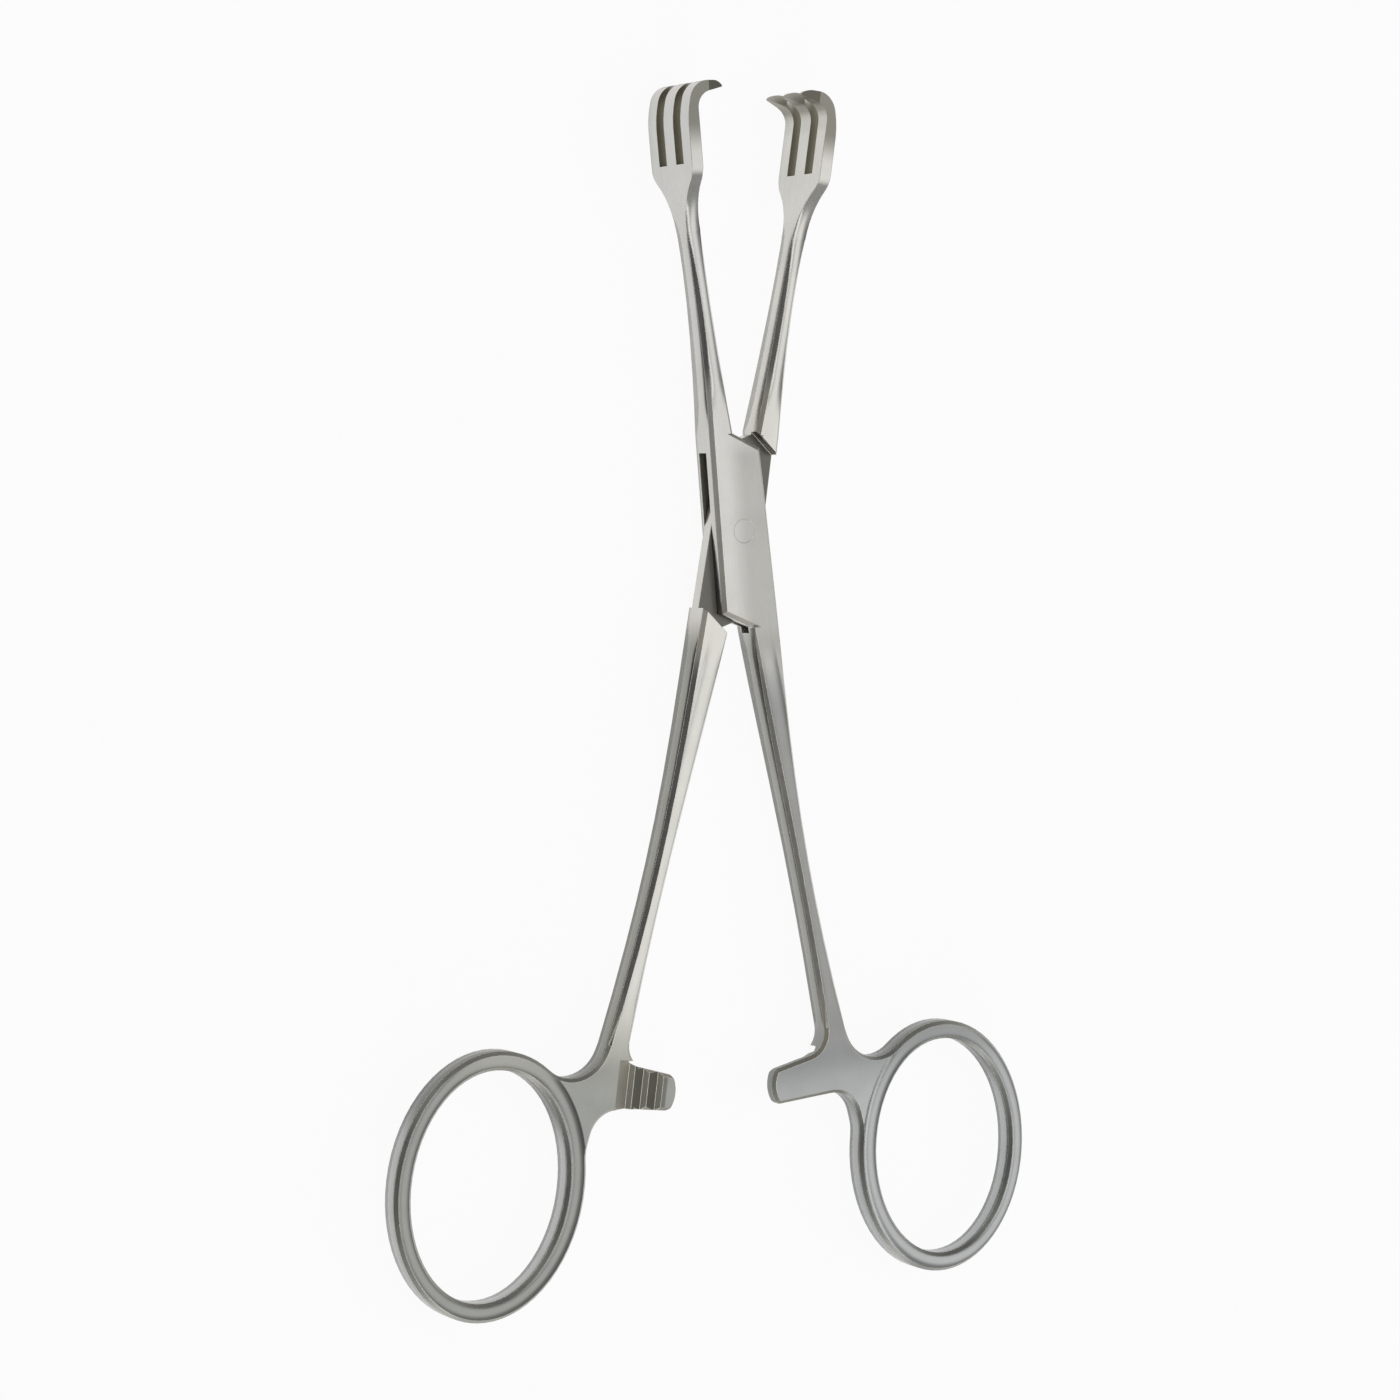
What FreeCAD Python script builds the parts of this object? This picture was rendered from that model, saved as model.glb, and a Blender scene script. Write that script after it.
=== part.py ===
"""Traction forceps with three-pronged hooked jaws, a box lock and a ratchet catch, in millimetres.

Frame: +Z runs along the pivot axis, +Y runs towards the jaws, +X is to the right seen from the front.
The origin is where the pivot axis meets the back face of the box lock. Each half is drawn closed,
in a frame whose origin is the pivot at mid thickness, and is then turned open by half the rest
opening. The right handle and left jaw belong to the box half, and the other two to the tenon half.
"""
import FreeCAD, Part
import math
import os

import PartDesign
import Sketcher

# Sizes in millimetres and degrees, one cell of the sheet each
SIZES = {
    # Overall reach of each half from the pivot, and how far the jaws stand open at rest
    "jaw_length": 56.4,
    "handle_length": 101.2,
    "rest_opening": 12.4,
    # Box lock
    "lock_depth": 4.2,
    "edge_bevel": 0.5,
    "lock_reach": 12.4,
    "plate_corner_reach": 10.25,
    "lock_top_outer": 3.95,
    "lock_top_inner": 3.5,
    "lock_low_inner": 3.8,
    "lock_low_outer": 4.6,
    "jaw_root_inner": 0.45,
    "handle_root_inner": 0.62,
    "root_inner_bevel": 0.12,
    # Tenon, its slot and the shoulders
    "tenon_depth": 1.5,
    "tenon_setback": 0.25,
    "tenon_clearance": 0.1,
    "slot_reach": 10.1,
    "slot_lean": 43.3,
    "shoulder_reach_up": 10.6,
    "shoulder_reach_down": 11.05,
    "shoulder_lean": 36.0,
    # Pivot pin
    "pin_radius": 1.5,
    "pin_seat_gap": 0.01,
    "pin_running_gap": 0.05,
    # Jaw arm, from the lock up to the fork
    "jaw_low_y": 22.0,
    "jaw_low_outer": 3.9,
    "jaw_low_inner": 1.5,
    "jaw_low_depth": 3.7,
    "jaw_mid_y": 30.0,
    "jaw_mid_outer": 4.25,
    "jaw_mid_inner": 2.2,
    "jaw_mid_depth": 3.2,
    "jaw_neck_outer": 4.9,
    "jaw_neck_inner": 2.9,
    "neck_bevel": 0.06,
    # Fork, which flares from the neck; it stands further out on the box half
    "fork_length": 11.4,
    "fork_outer_box": 5.8,
    "fork_outer_tenon": 5.45,
    "fork_heel_step": 0.12,
    "fork_thickness": 1.63,
    "fork_width": 9.4,
    "neck_width": 2.5,
    "flare_length": 7.0,
    "flare_radius": 9.0,
    "shoulder_run": 0.88,
    "shoulder_rise": 1.24,
    "shoulder_radius": 3.0,
    # Its three prongs, and the hooks that they end in
    "bend_start_drop": 5.4,
    "bend_start_radius": 11.5,
    "bend_middle_drop": 1.95,
    "bend_middle_shift": 0.53,
    "bend_radius": 2.76,
    "bend_reach": 3.12,
    "crook_radius": 2.2,
    "crook_reach": 1.7,
    "crook_height": 2.2,
    "crook_drop": 1.3,
    "hook_tip_drop": 0.62,
    "hook_tip_depth": 0.2,
    "hook_crown_x": 1.6,
    "hook_top_radius": 2.1,
    "hook_tip_gap": 0.06,
    "slot_length": 10.1,
    "prong_gap": 1.7,
    "middle_prong_width": 2.2,
    "prong_tip_width": 0.5,
    "tip_taper_length": 3.1,
    "taper_start_gap": 0.2,
    # Handle shank, from the lock down to the web
    "shank_high_y": 30.0,
    "shank_high_outer": 5.7,
    "shank_high_inner": 3.0,
    "shank_high_depth": 3.6,
    "shank_waist_y": 45.5,
    "shank_waist_outer": 7.4,
    "shank_waist_inner": 5.38,
    "shank_waist_depth": 3.3,
    "shank_low_y": 57.0,
    "shank_low_outer": 9.3,
    "shank_low_inner": 6.88,
    "shank_low_depth": 3.2,
    "shank_foot_outer": 11.2,
    "shank_foot_inner": 7.95,
    # Finger ring
    "ring_x": 25.7,
    "ring_lean_box": 2.0,
    "ring_lean_tenon": 0.6,
    "ring_hole_long": 14.4,
    "ring_hole_wide": 10.95,
    "ring_end_bar": 2.4,
    "ring_side_bar": 2.35,
    "ring_inner_side_growth": 0.2,
    "ring_depth": 3.1,
    "ring_edge_bevel": 0.45,
    # Web between the shank, the ring and the ratchet bar, measured up from the ring's centre
    "web_top_rise": 20.4,
    "web_lap": 2.5,
    "web_top_outer": 10.5,
    "web_top_inner": 7.85,
    "web_inner": 11.5,
    "web_crotch_x": 14.2,
    "crotch_rise": 7.9,
    "web_ring_overlap": 1.0,
    "crotch_round": 5.0,
    "web_ring_round": 6.0,
    # Ratchet bar
    "bar_low_rise": 10.2,
    "bar_height": 4.6,
    "bar_root_slant": 1.2,
    "bar_overreach_box": 0.2,
    "bar_overreach_tenon": -0.1,
    "bar_end_radius": 4.0,
    "bar_top_round": 3.0,
    "bar_low_round": 4.0,
    "bar_end_round": 0.8,
    "ratchet_gap": 0.1,
    "ratchet_slope_run": 2.8,
    "tooth_first": 1.4,
    "tooth_pitch": 2.2,
    "tooth_steep_run": 0.6,
    "tooth_depth": 0.5,
    "tooth_end_bevel": 0.42,
    "tooth_bevel_length": 5.2,
}
TEETH = 3

# The least volume that a cut has to take away, in cubic millimetres, and how flat a flat edge lies
LEAST_CUT = 0.01
FLATNESS = 1e-4

# Heights above the pivot on the jaw side, and depths below it on the handle side
HEEL_Y = "({jaw_length} - {fork_length})"
NECK_Y = "(%s - {flare_length})" % HEEL_Y
CROOK_Y = "({jaw_length} - {crook_drop})"
BEND_START_Y = "({jaw_length} - {bend_start_drop})"
BEND_MIDDLE_Y = "({jaw_length} - {bend_middle_drop})"
HOOK_TIP_Y = "({jaw_length} - {hook_tip_drop})"
PRONG_ROOT_Y = "({jaw_length} - {slot_length})"
RING_Y = "({handle_length} - {ring_end_bar} - {ring_hole_long})"
WEB_TOP_Y = "(%s - {web_top_rise})" % RING_Y
SHANK_FOOT_Y = "(%s + {web_lap})" % WEB_TOP_Y
CROTCH_Y = "(%s - {crotch_rise})" % RING_Y
BAR_LOW_Y = "(%s - {bar_low_rise})" % RING_Y
BAR_TOP_Y = "(%s - {bar_height})" % BAR_LOW_Y
BAR_ROOT_Y = "(%s - {bar_root_slant})" % BAR_TOP_Y

BOX_HALF = 1
TENON_HALF = -1
UPRIGHT = FreeCAD.Vector(0, 1, 0)

doc = FreeCAD.newDocument("TractionForceps")
sheet = doc.addObject("Spreadsheet::Sheet", "Sizes")
for row, (alias, size) in enumerate(SIZES.items(), start=1):
    sheet.set("A%d" % row, alias)
    sheet.set("B%d" % row, str(size))
    sheet.setAlias("B%d" % row, alias)
doc.recompute()


def cell(text):
    """An expression on the sheet, from the bare names of its cells."""
    for alias in sorted(SIZES, key=len, reverse=True):
        text = text.replace("{%s}" % alias, "Sizes.%s" % alias)
    return text


def value(text):
    """The number that an expression gives now."""
    return float(sheet.evalExpression(cell(text)))


def origin_plane(body, role):
    """One of the body's own three planes."""
    return next(feature for feature in body.Origin.OriginFeatures if feature.Role == role)


def new_sketch(body, name, role, offset=None, across=None, turn=None):
    """An empty sketch on a plane of the body.

    The plane is moved along its normal by offset and along the sketch's own x by across, and turned
    about the sketch's own y. All three are expressions.
    """
    sketch = body.newObject("Sketcher::SketchObject", name)
    sketch.AttachmentSupport = [(origin_plane(body, role), "")]
    sketch.MapMode = "FlatFace"
    sketch.AttachmentOffset = FreeCAD.Placement(FreeCAD.Vector(), FreeCAD.Rotation(UPRIGHT, 0))
    for place, text in (("Base.z", offset), ("Base.x", across), ("Rotation.Angle", turn)):
        if text:
            sketch.setExpression("AttachmentOffset." + place, cell(text))
    return sketch


def pin_point(sketch, edge, end, point):
    """Ties one end of an edge to its place, given as a pair of expressions."""
    for kind, text in zip(("DistanceX", "DistanceY"), point):
        index = sketch.addConstraint(Sketcher.Constraint(kind, -1, 1, edge, end, value(text)))
        sketch.setExpression("Constraints[%d]" % index, cell(text))


def arc_through(start, end, radius, turn):
    """An arc from start to end; turn is 1 if it runs anticlockwise and -1 if clockwise."""
    chord = end - start
    across = FreeCAD.Vector(-chord.y, chord.x, 0).normalize()
    sagitta = radius - math.sqrt(radius * radius - chord.Length * chord.Length / 4)
    middle = (start + end) / 2 - across * sagitta * turn
    return Part.Arc(start, middle, end)


def add_outline(sketch, points, arcs=None):
    """A closed outline through points; arcs maps a side's number to its radius and turn."""
    arcs = arcs or {}
    spots = [FreeCAD.Vector(value(x), value(y), 0) for x, y in points]
    first = sketch.GeometryCount
    count = len(points)
    for side in range(count):
        start, end = spots[side], spots[(side + 1) % count]
        if side in arcs:
            radius, turn = arcs[side]
            sketch.addGeometry(arc_through(start, end, value(radius), turn), False)
        else:
            sketch.addGeometry(Part.LineSegment(start, end), False)
    # An arc always runs anticlockwise here, so a clockwise side starts at its arc's far end
    heads = [2 if side in arcs and arcs[side][1] < 0 else 1 for side in range(count)]
    for side in range(count):
        after = (side + 1) % count
        sketch.addConstraint(Sketcher.Constraint("Coincident", first + side, 3 - heads[side],
                                                 first + after, heads[after]))
        pin_point(sketch, first + side, heads[side], points[side])
    for side, (radius, _) in arcs.items():
        index = sketch.addConstraint(Sketcher.Constraint("Radius", first + side, value(radius)))
        sketch.setExpression("Constraints[%d]" % index, cell(radius))


def add_oval(sketch, centre, long_radius, wide_radius, lean):
    """An ellipse whose long axis leans from the sketch's upright by an angle."""
    angle = math.radians(value(lean))
    middle = FreeCAD.Vector(value(centre[0]), value(centre[1]), 0)
    upright = FreeCAD.Vector(-math.sin(angle), math.cos(angle), 0) * value(long_radius)
    sideways = FreeCAD.Vector(math.cos(angle), math.sin(angle), 0) * value(wide_radius)
    oval = sketch.addGeometry(Part.Ellipse(middle + upright, middle + sideways, middle), False)
    sketch.exposeInternalGeometry(oval)
    long_axis, wide_axis = oval + 1, oval + 2
    pin_point(sketch, oval, 3, centre)
    for axis, radius in ((long_axis, long_radius), (wide_axis, wide_radius)):
        text = "2 * (%s)" % radius
        index = sketch.addConstraint(Sketcher.Constraint("Distance", axis, 1, axis, 2, value(text)))
        sketch.setExpression("Constraints[%d]" % index, cell(text))
    index = sketch.addConstraint(Sketcher.Constraint("Angle", long_axis, math.pi / 2 + angle))
    sketch.setExpression("Constraints[%d]" % index, cell("90 deg + 1 deg * (%s)" % lean))


def feature(body, kind, name, sketch, **settings):
    """A sketch-based feature; a setting given as text is an expression."""
    item = body.newObject("PartDesign::" + kind, name)
    item.Profile = sketch
    for key, setting in settings.items():
        if isinstance(setting, str):
            item.setExpression(key, cell(setting))
        else:
            setattr(item, key, setting)
    doc.recompute()
    return item


def pad_both_ways(body, name, sketch, length):
    """Material grown to both sides of its sketch."""
    return feature(body, "Pad", name, sketch, SideType=2, Length=length)


def cut(body, name, sketch, length, reversed_way=False, both_ways=False):
    """Material cut away from a sketch; the volume has to fall."""
    before = body.Shape.Volume
    pocket = feature(body, "Pocket", name, sketch, Type=0, SideType=2 if both_ways else 0,
                     Reversed=reversed_way, Length=length)
    if pocket.Shape.Volume > before - LEAST_CUT:
        raise ValueError("%s cuts nothing" % name)
    return pocket


def dress(body, kind, name, edges, amount):
    """A fillet or a chamfer on edges of the body's last shape."""
    base = body.Tip
    item = body.newObject("PartDesign::" + kind, name)
    item.Base = (base, ["Edge%d" % (number + 1) for number in edges])
    item.setExpression("Radius" if kind == "Fillet" else "Size", cell(amount))
    doc.recompute()
    return item


def upright_edge_near(shape, x, y):
    """The number of the edge along Z whose plan position is nearest to a point."""
    best = None
    for number, edge in enumerate(shape.Edges):
        box = edge.BoundBox
        if box.XLength > FLATNESS or box.YLength > FLATNESS:
            continue
        away = math.hypot(box.Center.x - x, box.Center.y - y)
        if best is None or away < best[0]:
            best = (away, number)
    return best[1]


def flat_edges_at(shape, height, keep=lambda box: True):
    """The numbers of the edges that lie in the two planes at plus and minus a height."""
    found = []
    for number, edge in enumerate(shape.Edges):
        box = edge.BoundBox
        if box.ZLength < FLATNESS and abs(abs(box.Center.z) - height) < FLATNESS and keep(box):
            found.append(number)
    return found


def mirrored(hand, x):
    """A sideways expression on the box half, or its mirror image on the tenon half."""
    return x if hand == BOX_HALF else "-(%s)" % x


def plan_points(hand, points):
    """Plan points of the box half, mirrored where the other half is drawn."""
    return [(mirrored(hand, x), y) for x, y in points]


def own_size(hand, name):
    """A size that the two halves don't share."""
    return "{%s_%s}" % (name, "box" if hand == BOX_HALF else "tenon")


def plan_arcs(hand, arcs):
    """The arcs of a plan outline, which turn the other way in the mirror image."""
    return {side: (radius, turn * hand) for side, (radius, turn) in arcs.items()}


def station(body, name, hand, y, edges, depth, bevels=("{edge_bevel}", "{edge_bevel}")):
    """A bevelled rectangular section of an arm at a height y, between two plan edges."""
    sketch = new_sketch(body, name, "XZ_Plane", "-(%s)" % y)
    if hand == TENON_HALF:
        edges, bevels = edges[::-1], bevels[::-1]
    left, right = (mirrored(hand, edge) for edge in edges)
    left_bevel, right_bevel = bevels
    half = "(%s) / 2" % depth
    left_land, right_land = "%s + %s" % (left, left_bevel), "%s - %s" % (right, right_bevel)
    left_wall, right_wall = "%s - %s" % (half, left_bevel), "%s - %s" % (half, right_bevel)
    add_outline(sketch, [
        (left_land, "-(%s)" % half), (right_land, "-(%s)" % half),
        (right, "-(%s)" % right_wall), (right, right_wall),
        (right_land, half), (left_land, half),
        (left, left_wall), (left, "-(%s)" % left_wall)])
    return sketch


def loft(body, name, sections):
    """An arm drawn through its sections."""
    return feature(body, "AdditiveLoft", name, sections[0], Sections=sections[1:])


def build_ring_and_web(body, hand):
    """The finger ring, the web that joins it to the shank, and the ratchet bar."""
    below = "-%s"
    ring_centre = (mirrored(hand, "{ring_x} - {ring_inner_side_growth}"), below % RING_Y)
    hole_centre = (mirrored(hand, "{ring_x}"), below % RING_Y)
    lean = "%d * %s" % (-hand, own_size(hand, "ring_lean"))
    overreach = own_size(hand, "bar_overreach")

    ring = new_sketch(body, "RingOutline", "XY_Plane")
    add_oval(ring, ring_centre, "{ring_hole_long} + {ring_end_bar}",
             "{ring_hole_wide} + {ring_side_bar} + {ring_inner_side_growth}", lean)
    pad_both_ways(body, "Ring", ring, "{ring_depth}")

    ring_left = "{ring_x} - {ring_hole_wide} - {ring_side_bar} + {web_ring_overlap}"
    web = new_sketch(body, "WebOutline", "XY_Plane")
    add_outline(web, plan_points(hand, [
        ("{web_top_outer}", below % WEB_TOP_Y),
        ("{web_crotch_x}", below % CROTCH_Y),
        ("{ring_x}", below % RING_Y),
        (ring_left, below % RING_Y),
        ("{web_inner}", below % BAR_LOW_Y),
        ("-%s" % overreach, below % BAR_LOW_Y),
        ("-%s" % overreach, below % BAR_TOP_Y),
        ("{web_top_inner}", below % BAR_ROOT_Y),
        ("{web_top_inner}", below % WEB_TOP_Y)]),
        plan_arcs(hand, {5: ("{bar_end_radius}", -1)}))
    pad_both_ways(body, "Web", web, "{ring_depth}")

    # Corners of the web's plan, from the shank round to the ring
    corners = (
        ("Crotch", "{web_crotch_x}", CROTCH_Y, "{crotch_round}"),
        ("WebToRing", ring_left, "(%s - {web_ring_round} / 2)" % RING_Y, "{web_ring_round}"),
        ("BarUnderside", "{web_inner}", BAR_LOW_Y, "{bar_low_round}"),
        ("BarTop", "{web_top_inner}", BAR_ROOT_Y, "{bar_top_round}"),
        ("BarLowCorner", "-%s" % overreach, BAR_LOW_Y, "{bar_end_round}"),
        ("BarTopCorner", "-%s" % overreach, BAR_TOP_Y, "{bar_end_round}"))
    for name, x, y, radius in corners:
        edge = upright_edge_near(body.Shape, value(mirrored(hand, x)), value(below % y))
        dress(body, "Fillet", name, [edge], radius)

    hole = new_sketch(body, "RingHoleOutline", "XY_Plane")
    add_oval(hole, hole_centre, "{ring_hole_long}", "{ring_hole_wide}", lean)
    cut(body, "RingHole", hole, "2 * {ring_depth}", both_ways=True)

    web_end = value(below % WEB_TOP_Y)
    rims = flat_edges_at(body.Shape, value("{ring_depth}") / 2,
                         lambda box: box.Center.y < web_end - FLATNESS)
    dress(body, "Chamfer", "RimBevel", rims, "{ring_edge_bevel}")


def build_ratchet(body, hand):
    """Half the bar's depth is cut away, with saw teeth in the face that is left.

    The box half keeps the front of its bar and the tenon half keeps the back, so the two rows of
    teeth face each other and pass with a small gap. Their steep sides hold against opening, and
    bevels along both long edges of the bar end them.
    """
    def level(z):
        return z if hand == TENON_HALF else "-(%s)" % z

    crest = "-{ratchet_gap} / 2"
    clear = "{ring_depth}"
    overreach = own_size(hand, "bar_overreach")
    last_valley = "{tooth_first} + %d * {tooth_pitch} + {tooth_steep_run}" % (TEETH - 1)
    slope_top = last_valley + " + {ratchet_slope_run}"
    points = [(slope_top, level(clear)), (slope_top, level("{ring_depth} / 2"))]
    for tooth in reversed(range(TEETH)):
        tooth_crest = "{tooth_first} + %d * {tooth_pitch}" % tooth
        points += [(tooth_crest + " + {tooth_steep_run}", level("%s - {tooth_depth}" % crest)),
                   (tooth_crest, level(crest))]
    beyond = "-%s - {bar_end_radius}" % overreach
    points += [(beyond, level(crest)), (beyond, level(clear))]
    teeth = new_sketch(body, "TeethOutline", "XZ_Plane", "%s - {ring_edge_bevel}" % BAR_ROOT_Y)
    add_outline(teeth, plan_points(hand, points))
    cut(body, "RatchetTeeth", teeth, "{bar_height} + {bar_root_slant} + 2 * {ring_edge_bevel}",
        reversed_way=True)

    # The bevel's plane, seen along an edge that has the bar on its left
    bevel = "{tooth_end_bevel}"
    section = [("-" + bevel, crest), (bevel, "%s - 2 * %s" % (crest, bevel)),
               (bevel, "%s + %s" % (crest, bevel)), ("-" + bevel, "%s + %s" % (crest, bevel))]
    bar_end = mirrored(hand, "-%s" % overreach)
    rise = "atan({bar_root_slant} / ({web_top_inner} + %s))" % overreach
    for name, y, outward, turn in (("Low", BAR_LOW_Y, -1, None),
                                   ("Top", BAR_TOP_Y, 1, "%d * %s" % (hand, rise))):
        edge = new_sketch(body, "Teeth%sBevel" % name, "YZ_Plane", bar_end, "-%s" % y, turn)
        add_outline(edge, [("%d * (%s)" % (outward, out), level(z)) for out, z in section])
        cut(body, "Teeth%sEnds" % name, edge, "2 * {tooth_bevel_length}", both_ways=True)


def build_lock(body, hand):
    """The lock's block: its ends slant from the root of each arm to the far corner of the plate."""
    outline = new_sketch(body, "LockOutline", "XY_Plane")
    add_outline(outline, plan_points(hand, [
        ("-{lock_top_outer}", "{lock_reach}"), ("-{jaw_root_inner}", "{lock_reach}"),
        ("{lock_top_inner}", "{plate_corner_reach}"), ("{lock_low_outer}", "-{lock_reach}"),
        ("{handle_root_inner}", "-{lock_reach}"), ("-{lock_low_inner}", "-{plate_corner_reach}")]))
    pad_both_ways(body, "Lock", outline, "{lock_depth}")
    reach = value("{lock_reach}")
    edges = flat_edges_at(body.Shape, value("{lock_depth}") / 2,
                          lambda box: box.YLength > FLATNESS and abs(box.Center.y) < reach)
    dress(body, "Chamfer", "LockBevel", edges, "{edge_bevel}")


def build_arms(body, hand):
    """The shank below the lock and the jaw above it, each drawn through bevelled sections."""
    foot = station(body, "ShankFoot", hand, "-%s" % SHANK_FOOT_Y,
                   ("{shank_foot_inner}", "{shank_foot_outer}"), "{ring_depth}",
                   ("{ring_edge_bevel}", "{ring_edge_bevel}"))
    low = station(body, "ShankLow", hand, "-{shank_low_y}",
                  ("{shank_low_inner}", "{shank_low_outer}"), "{shank_low_depth}")
    waist = station(body, "ShankWaist", hand, "-{shank_waist_y}",
                    ("{shank_waist_inner}", "{shank_waist_outer}"), "{shank_waist_depth}")
    high = station(body, "ShankHigh", hand, "-{shank_high_y}",
                   ("{shank_high_inner}", "{shank_high_outer}"), "{shank_high_depth}")
    root = station(body, "HandleRoot", hand, "-{lock_reach}",
                   ("{handle_root_inner}", "{lock_low_outer}"), "{lock_depth}",
                   ("{root_inner_bevel}", "{edge_bevel}"))
    loft(body, "Shank", [foot, low, waist, high, root])

    jaw_root = station(body, "JawRoot", hand, "{lock_reach}",
                       ("-{lock_top_outer}", "-{jaw_root_inner}"), "{lock_depth}")
    jaw_low = station(body, "JawLow", hand, "{jaw_low_y}",
                      ("-{jaw_low_outer}", "-{jaw_low_inner}"), "{jaw_low_depth}")
    jaw_mid = station(body, "JawMid", hand, "{jaw_mid_y}",
                      ("-{jaw_mid_outer}", "-{jaw_mid_inner}"), "{jaw_mid_depth}")
    jaw_neck = station(body, "JawNeck", hand, NECK_Y,
                       ("-{jaw_neck_outer}", "-{jaw_neck_inner}"), "{neck_width}",
                       ("{neck_bevel}", "{neck_bevel}"))
    loft(body, "Jaw", [jaw_root, jaw_low, jaw_mid, jaw_neck])


def build_fork(body, hand):
    """The flared fork at the jaw's end, with three prongs hooked over towards the other jaw."""
    fork = new_sketch(body, "ForkOutline", "XY_Plane")
    outer = own_size(hand, "fork_outer")
    inner = "-(%s - {fork_thickness})" % outer
    tip_x = "-{hook_tip_gap} / 2"
    add_outline(fork, plan_points(hand, [
        ("-{jaw_neck_inner}", NECK_Y),
        ("%s + {fork_heel_step}" % inner, HEEL_Y),
        (inner, "%s - {crook_height}" % CROOK_Y),
        ("%s + {crook_reach}" % inner, CROOK_Y),
        (tip_x, "%s - {hook_tip_depth}" % HOOK_TIP_Y),
        (tip_x, HOOK_TIP_Y),
        ("-{hook_crown_x}", "{jaw_length}"),
        ("-%s + {bend_reach}" % outer, "{jaw_length}"),
        ("-%s + {bend_middle_shift}" % outer, BEND_MIDDLE_Y),
        ("-%s" % outer, BEND_START_Y),
        ("-%s + {fork_heel_step}" % outer, HEEL_Y),
        ("-{jaw_neck_outer}", NECK_Y)]),
        plan_arcs(hand, {2: ("{crook_radius}", -1), 5: ("{hook_top_radius}", 1),
                         7: ("{bend_radius}", 1), 8: ("{bend_start_radius}", 1)}))
    pad_both_ways(body, "Fork", fork, "{fork_width}")

    # The neck widens into the fork on two hollow arcs, each with a rounded shoulder
    flare = new_sketch(body, "FlareOutline", "YZ_Plane")
    for sign, turn in (("", 1), ("-", -1)):
        def side(z):
            return "%s(%s)" % (sign, z)
        shoulder_y = "%s + {shoulder_rise}" % HEEL_Y
        add_outline(flare, [
            (NECK_Y, side("{neck_width} / 2")),
            ("%s - {shoulder_run}" % HEEL_Y, side("{fork_width} / 2 - {shoulder_run}")),
            (shoulder_y, side("{fork_width} / 2")),
            (shoulder_y, side("{fork_width}")), (NECK_Y, side("{fork_width}"))],
            {0: ("{flare_radius}", turn), 1: ("{shoulder_radius}", -turn)})
    cut(body, "Flare", flare, "4 * %s" % outer, both_ways=True)

    slots = new_sketch(body, "ProngGaps", "YZ_Plane")
    above = "{jaw_length} + {bend_radius}"
    for sign in ("", "-"):
        near = "%s({middle_prong_width} / 2)" % sign
        far = "%s({middle_prong_width} / 2 + {prong_gap})" % sign
        add_outline(slots, [(PRONG_ROOT_Y, near), (above, near), (above, far), (PRONG_ROOT_Y, far)])
    cut(body, "Prongs", slots, "4 * %s" % outer, both_ways=True)

    # Each prong narrows to its tip, so the gaps widen along the hook
    tips = new_sketch(body, "TipGaps", "XZ_Plane", "-(%s)" % above)
    start_x = "-{tip_taper_length}"
    past_tip = "{tip_taper_length} / 2"
    half_tip = "{prong_tip_width} / 2"
    middle_edge = "{middle_prong_width} / 2"
    outer_edge = "(%s + {prong_gap})" % middle_edge
    outer_middle = "(%s + {fork_width} / 2) / 2" % outer_edge
    for sign in ("", "-"):
        def side(z):
            return "%s(%s)" % (sign, z)
        add_outline(tips, plan_points(hand, [
            (start_x, side("%s + {taper_start_gap}" % middle_edge)),
            (tip_x, side(half_tip)),
            (past_tip, side(half_tip)),
            (past_tip, side("%s - %s" % (outer_middle, half_tip))),
            (tip_x, side("%s - %s" % (outer_middle, half_tip))),
            (start_x, side("%s - {taper_start_gap}" % outer_edge))]))
        add_outline(tips, plan_points(hand, [
            (start_x, side("{fork_width} / 2 + {taper_start_gap}")),
            (tip_x, side("%s + %s" % (outer_middle, half_tip))),
            (past_tip, side("%s + %s" % (outer_middle, half_tip))),
            (past_tip, side("{fork_width}")),
            (start_x, side("{fork_width}"))]))
    cut(body, "ProngTips", tips, "2 * {bend_radius} + {crook_height}", reversed_way=True)


def turned_strip(sketch, hand, lean, reach_up, reach_down, half_length):
    """A strip across the pivot, between two parallel walls that lean by an angle."""
    corners = []
    below = "-(%s)" % reach_down
    for out, side in ((below, -1), (below, 1), (reach_up, 1), (reach_up, -1)):
        run = "%d * (%s)" % (side, half_length)
        corners.append(("-(%s) * sin(1 deg * %s) + (%s) * cos(1 deg * %s)" % (out, lean, run, lean),
                        "(%s) * cos(1 deg * %s) + (%s) * sin(1 deg * %s)" % (out, lean, run, lean)))
    add_outline(sketch, plan_points(hand, corners))


def cut_mortise(body):
    """The slot through the box half, between its front and back plates, for the tenon."""
    slot = new_sketch(body, "MortiseOutline", "XY_Plane",
                      "-{tenon_setback} - {tenon_depth} / 2 - {tenon_clearance}")
    turned_strip(slot, BOX_HALF, "{slot_lean}", "{slot_reach}", "{slot_reach}", "{lock_reach}")
    cut(body, "Mortise", slot, "{tenon_depth} + 2 * {tenon_clearance}", reversed_way=True)


def cut_tenon(body):
    """The tenon half is thinned on both faces between its shoulders."""
    for name, face, towards_back in (("TenonFront", "-{tenon_setback} + {tenon_depth} / 2", False),
                                     ("TenonBack", "-{tenon_setback} - {tenon_depth} / 2", True)):
        outline = new_sketch(body, name + "Outline", "XY_Plane", face)
        turned_strip(outline, TENON_HALF, "{shoulder_lean}", "{shoulder_reach_up}",
                     "{shoulder_reach_down}", "{lock_reach}")
        cut(body, name, outline, "{lock_depth}", reversed_way=not towards_back)


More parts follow.
